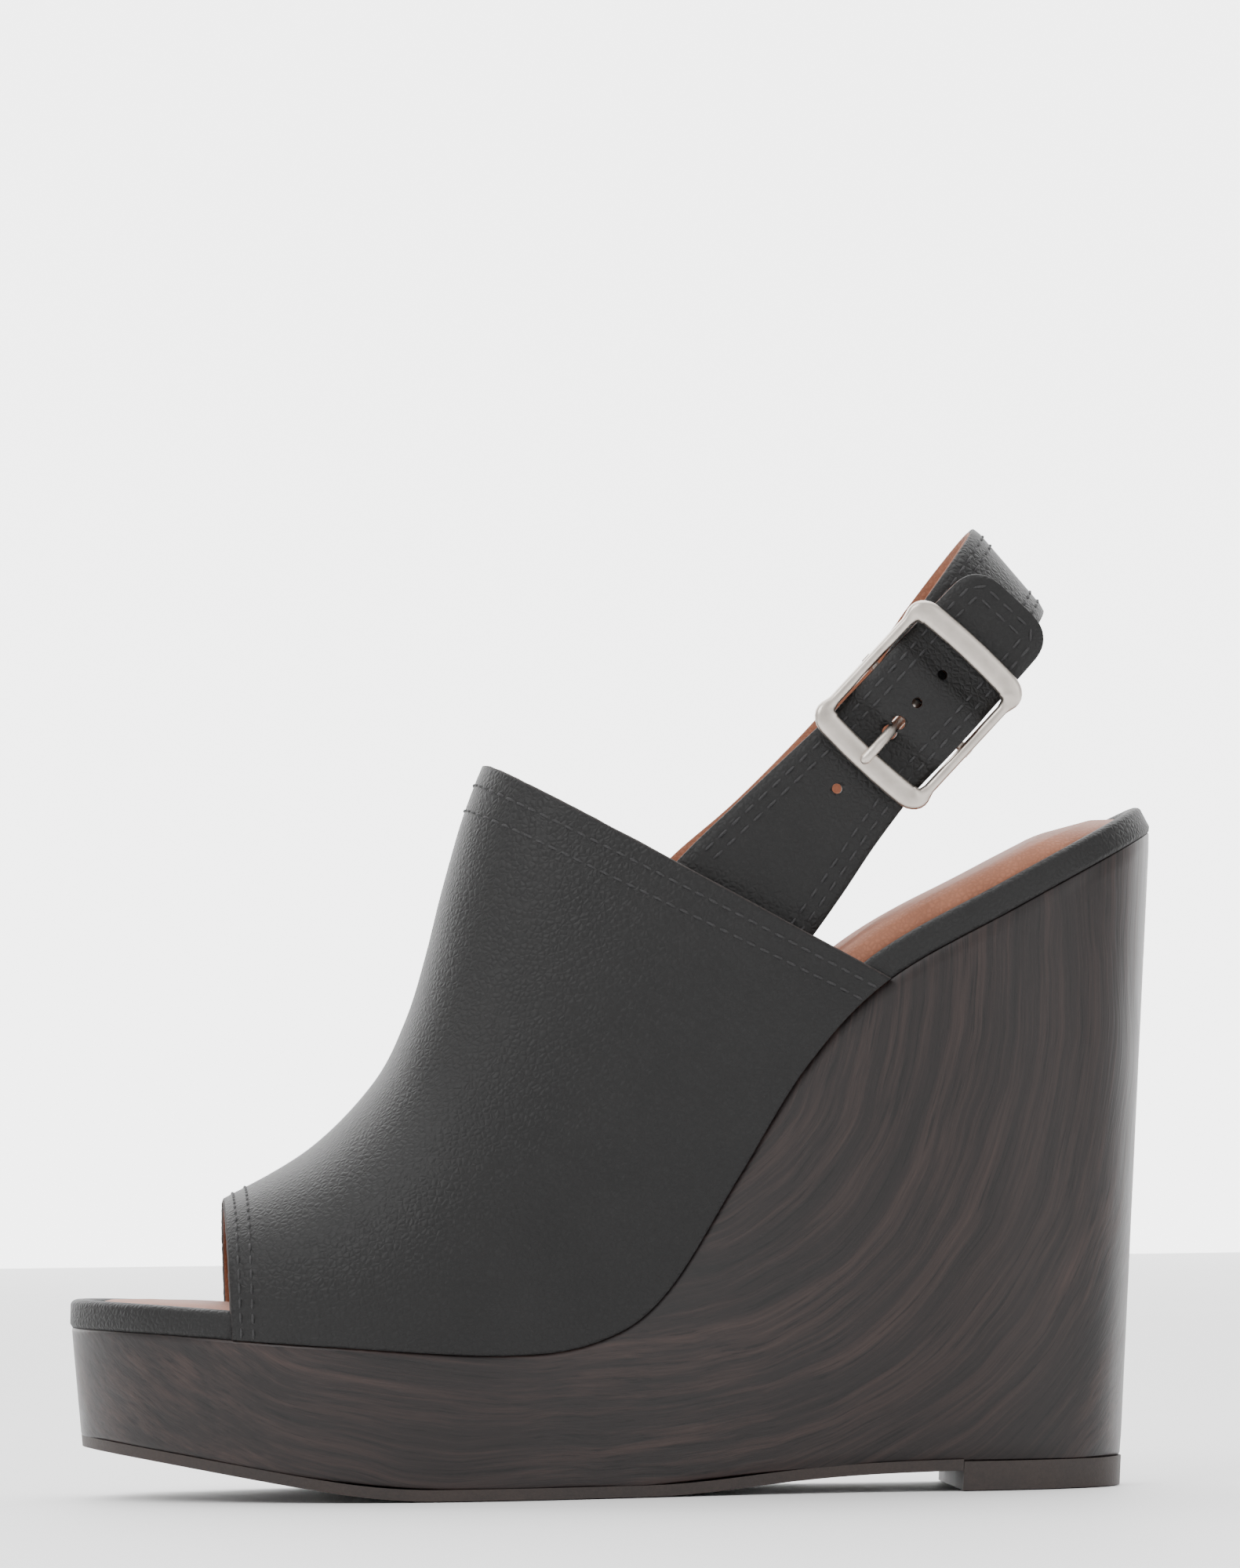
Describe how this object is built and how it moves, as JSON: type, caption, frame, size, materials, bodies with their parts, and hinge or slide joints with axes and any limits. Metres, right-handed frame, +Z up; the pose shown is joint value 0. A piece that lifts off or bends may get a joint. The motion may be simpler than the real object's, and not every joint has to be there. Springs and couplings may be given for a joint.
{
  "type": "wedge sandal",
  "caption": "Left peep-toe slingback sandal on a high wood-grain platform wedge, with a leather upper and a buckled heel strap.",
  "frame": {"origin": "middle of the bounding box on the floor, under the platform", "axes": "+X from toe to heel, +Y to the inner side of the foot, +Z up; the buckle is on the -Y side"},
  "size_m": [0.2135, 0.0861, 0.1875],
  "materials": {
    "wedge_wood": "dark stained grain, satin lacquer",
    "sole_rubber": "matte brown rubber",
    "black_leather": "fine grain, soft satin",
    "tan_leather": "smooth matte lining leather",
    "nickel": "satin nickel plate",
    "steel": "plain spring steel",
    "fibreboard": "pressed fibre",
    "foam": "open-cell latex foam"
  },
  "bodies": {
    "root": {"wedge": "wedge_wood", "outsole": "sole_rubber", "top_lift": "sole_rubber", "top_lift_nails": "steel", "insole_board": "fibreboard", "steel_shank": "steel", "shank_rivets": "steel", "wedge_screws": "steel", "footbed_foam": "foam", "heel_pad": "foam", "sock_lining": "tan_leather", "toe_rand": "black_leather", "heel_rand": "black_leather", "vamp": "black_leather", "vamp_lining": "tan_leather", "outer_strap_root": "black_leather", "inner_strap_root": "black_leather"},
    "sling": {"front_strap": "black_leather", "front_strap_lining": "tan_leather", "heel_strap": "black_leather", "heel_strap_lining": "tan_leather"},
    "buckle": {"buckle_frame": "nickel", "buckle_bar": "nickel"},
    "tongue": {"buckle_tongue": "nickel"}
  },
  "joints": [
    {"name": "sling_swing", "type": "hinge", "parent": "root", "child": "sling", "pos_m": [0.0254, 0, 0.1155], "axis": [0, -1, 0], "range_deg": [-22, 35]},
    {"name": "buckle_rock", "type": "hinge", "parent": "sling", "child": "buckle", "pos_m": [0.0587, -0.0244, 0.1521], "axis": [-0.7254, 0, 0.6884], "range_deg": [-2.5, 2.5]},
    {"name": "tongue_lift", "type": "hinge", "parent": "buckle", "child": "tongue", "pos_m": [0.0587, -0.0244, 0.1521], "axis": [-0.7254, 0, 0.6884], "range_deg": [0, 6]}
  ]
}
